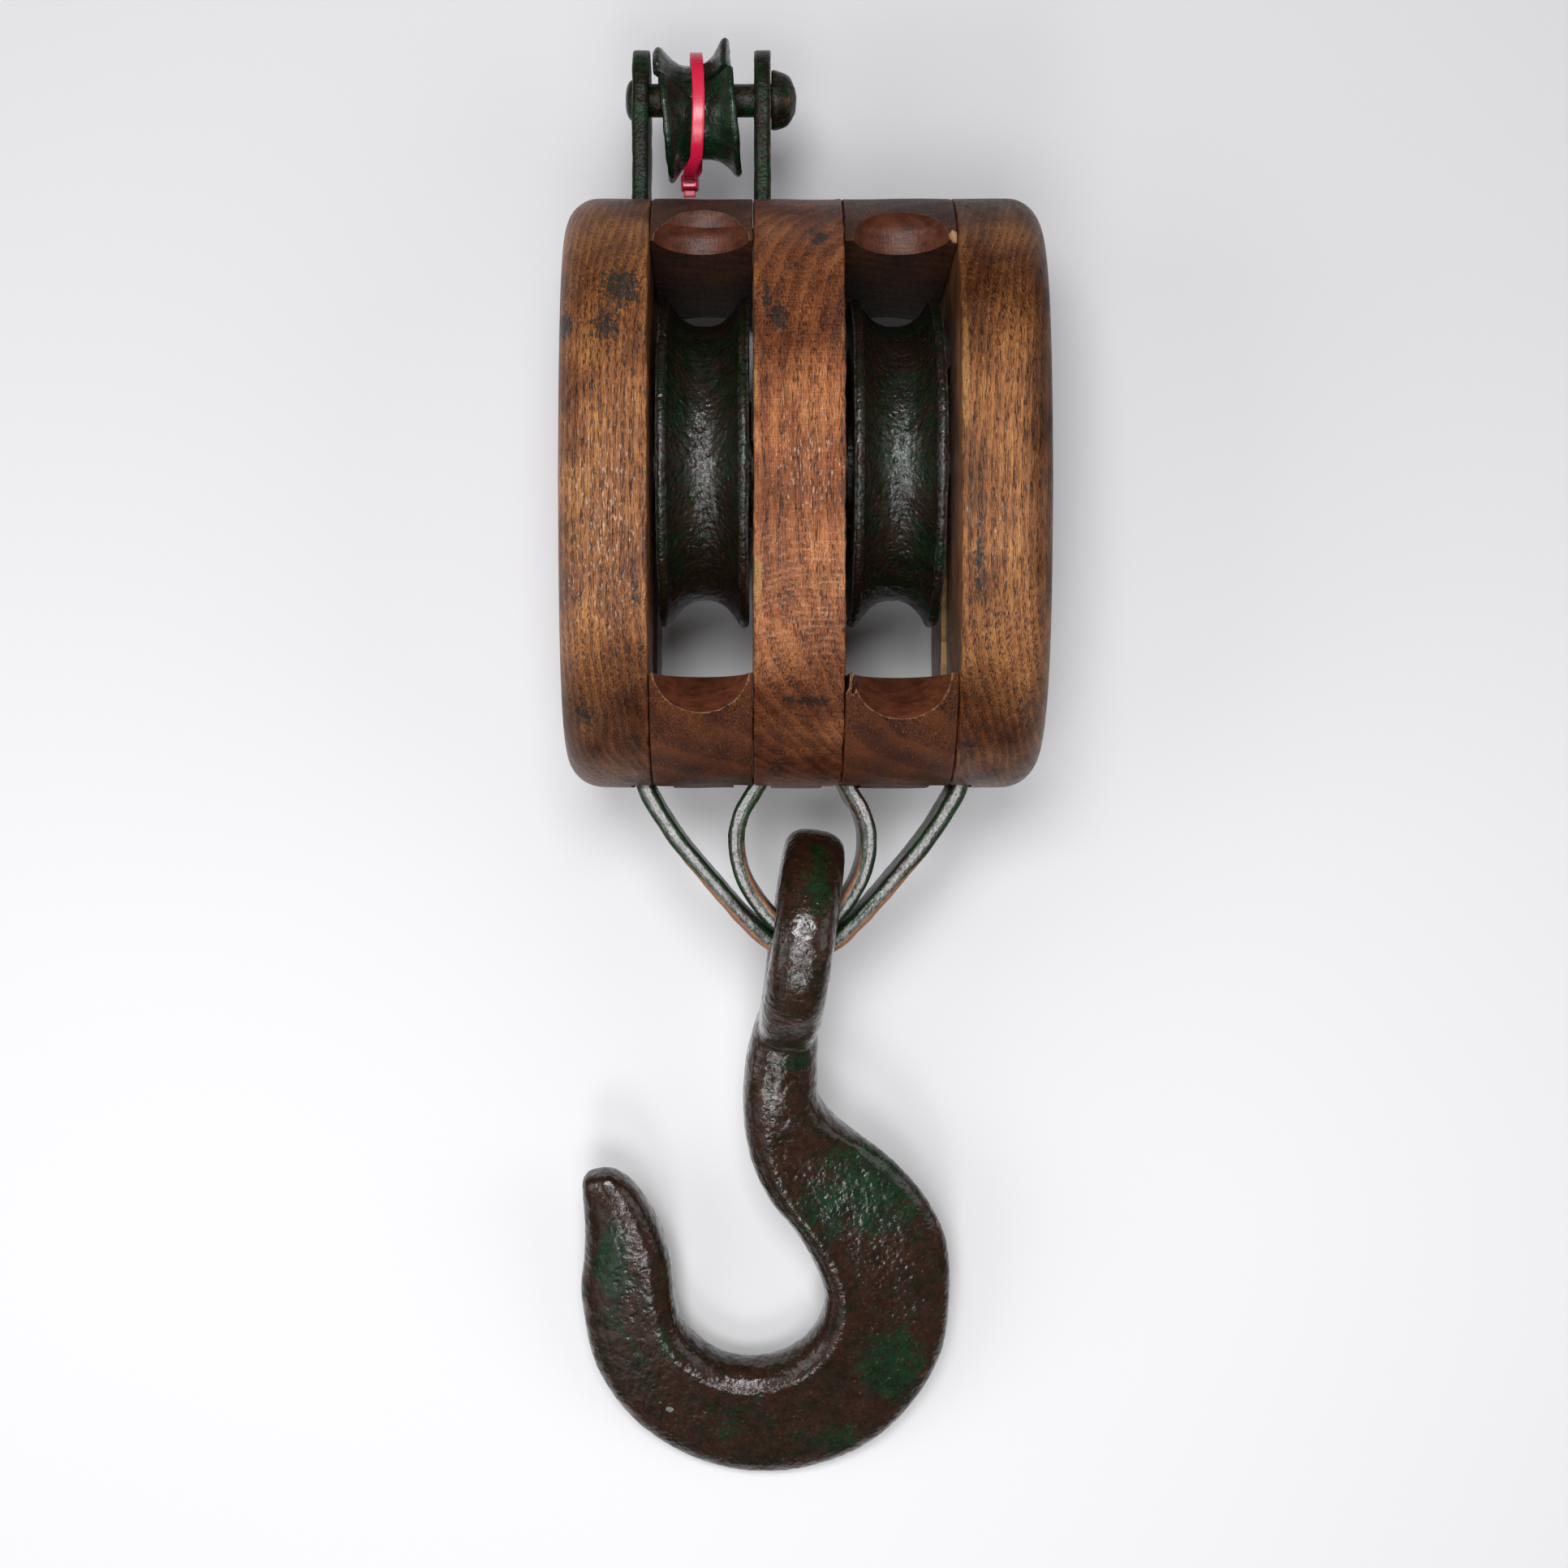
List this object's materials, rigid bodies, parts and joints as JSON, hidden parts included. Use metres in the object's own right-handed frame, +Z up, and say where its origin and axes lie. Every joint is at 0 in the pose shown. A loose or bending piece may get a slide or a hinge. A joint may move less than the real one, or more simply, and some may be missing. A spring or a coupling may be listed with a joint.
{
  "type": "two-sheave rope block",
  "caption": "Wooden-shelled rope block lying on its back, with iron sheaves, inside iron straps, a loose side hook and a becket with a thimble.",
  "frame": {"origin": "on the surface that the block lies on, under the middle of its box", "axes": "+X along the axle, +Y from the hook end to the becket end, +Z up, away from the surface"},
  "size_m": [0.179, 0.5782, 0.15],
  "materials": {
    "cheek_wood": "worn varnish",
    "partition_wood": "worn varnish",
    "spacer_wood": "dark oiled",
    "strap_iron": "worn green paint",
    "sheave_iron": "glossy dark green paint",
    "bush_bronze": "dull",
    "bare_steel": "aged",
    "keeper_iron": "worn green paint",
    "fitting_iron": "worn green paint",
    "thimble_iron": "worn green paint",
    "hook_iron": "glossy dark paint over rust",
    "tie_plastic": "gloss"
  },
  "bodies": {
    "shell": {"cheek_left": "cheek_wood", "cheek_right": "cheek_wood", "partition": "partition_wood", "spacer_top_left": "spacer_wood", "spacer_top_right": "spacer_wood", "spacer_bottom_left": "spacer_wood", "spacer_bottom_right": "spacer_wood", "outer_strap": "strap_iron", "inner_strap": "strap_iron", "axle_pin": "bare_steel", "rivet_bottom_back": "bare_steel", "rivet_bottom_front": "bare_steel", "rivet_top_back": "bare_steel", "rivet_top_front": "bare_steel", "washer_bottom_back_left": "bare_steel", "washer_bottom_back_right": "bare_steel", "washer_bottom_front_left": "bare_steel", "washer_bottom_front_right": "bare_steel", "washer_top_back_left": "bare_steel", "washer_top_back_right": "bare_steel", "washer_top_front_left": "bare_steel", "washer_top_front_right": "bare_steel", "keeper_screw_left_bottom": "bare_steel", "keeper_screw_left_top": "bare_steel", "keeper_screw_right_bottom": "bare_steel", "keeper_screw_right_top": "bare_steel", "keeper_plate_left": "keeper_iron", "keeper_plate_right": "keeper_iron", "becket_pin": "fitting_iron"},
    "left_sheave": {"sheave_left": "sheave_iron", "bush_left": "bush_bronze"},
    "right_sheave": {"sheave_right": "sheave_iron", "bush_right": "bush_bronze"},
    "hook": {"hook": "hook_iron"},
    "thimble": {"thimble": "thimble_iron", "cable_tie": "tie_plastic"}
  },
  "joints": [
    {"name": "left_sheave_spin", "type": "hinge", "parent": "shell", "child": "left_sheave", "pos_m": [-0.03755, 0.1211, 0.075], "axis": [1, 0, 0], "continuous": true},
    {"name": "right_sheave_spin", "type": "hinge", "parent": "shell", "child": "right_sheave", "pos_m": [0.03515, 0.1211, 0.075], "axis": [1, 0, 0], "continuous": true},
    {"name": "hook_swing", "type": "hinge", "parent": "shell", "child": "hook", "pos_m": [0, -0.0635, 0.073], "axis": [0.9898, -0.1426, 0], "range_deg": [-141, 108]},
    {"name": "thimble_swing", "type": "hinge", "parent": "shell", "child": "thimble", "pos_m": [-0.0403, 0.263, 0.075], "axis": [1, 0, 0], "continuous": true}
  ]
}
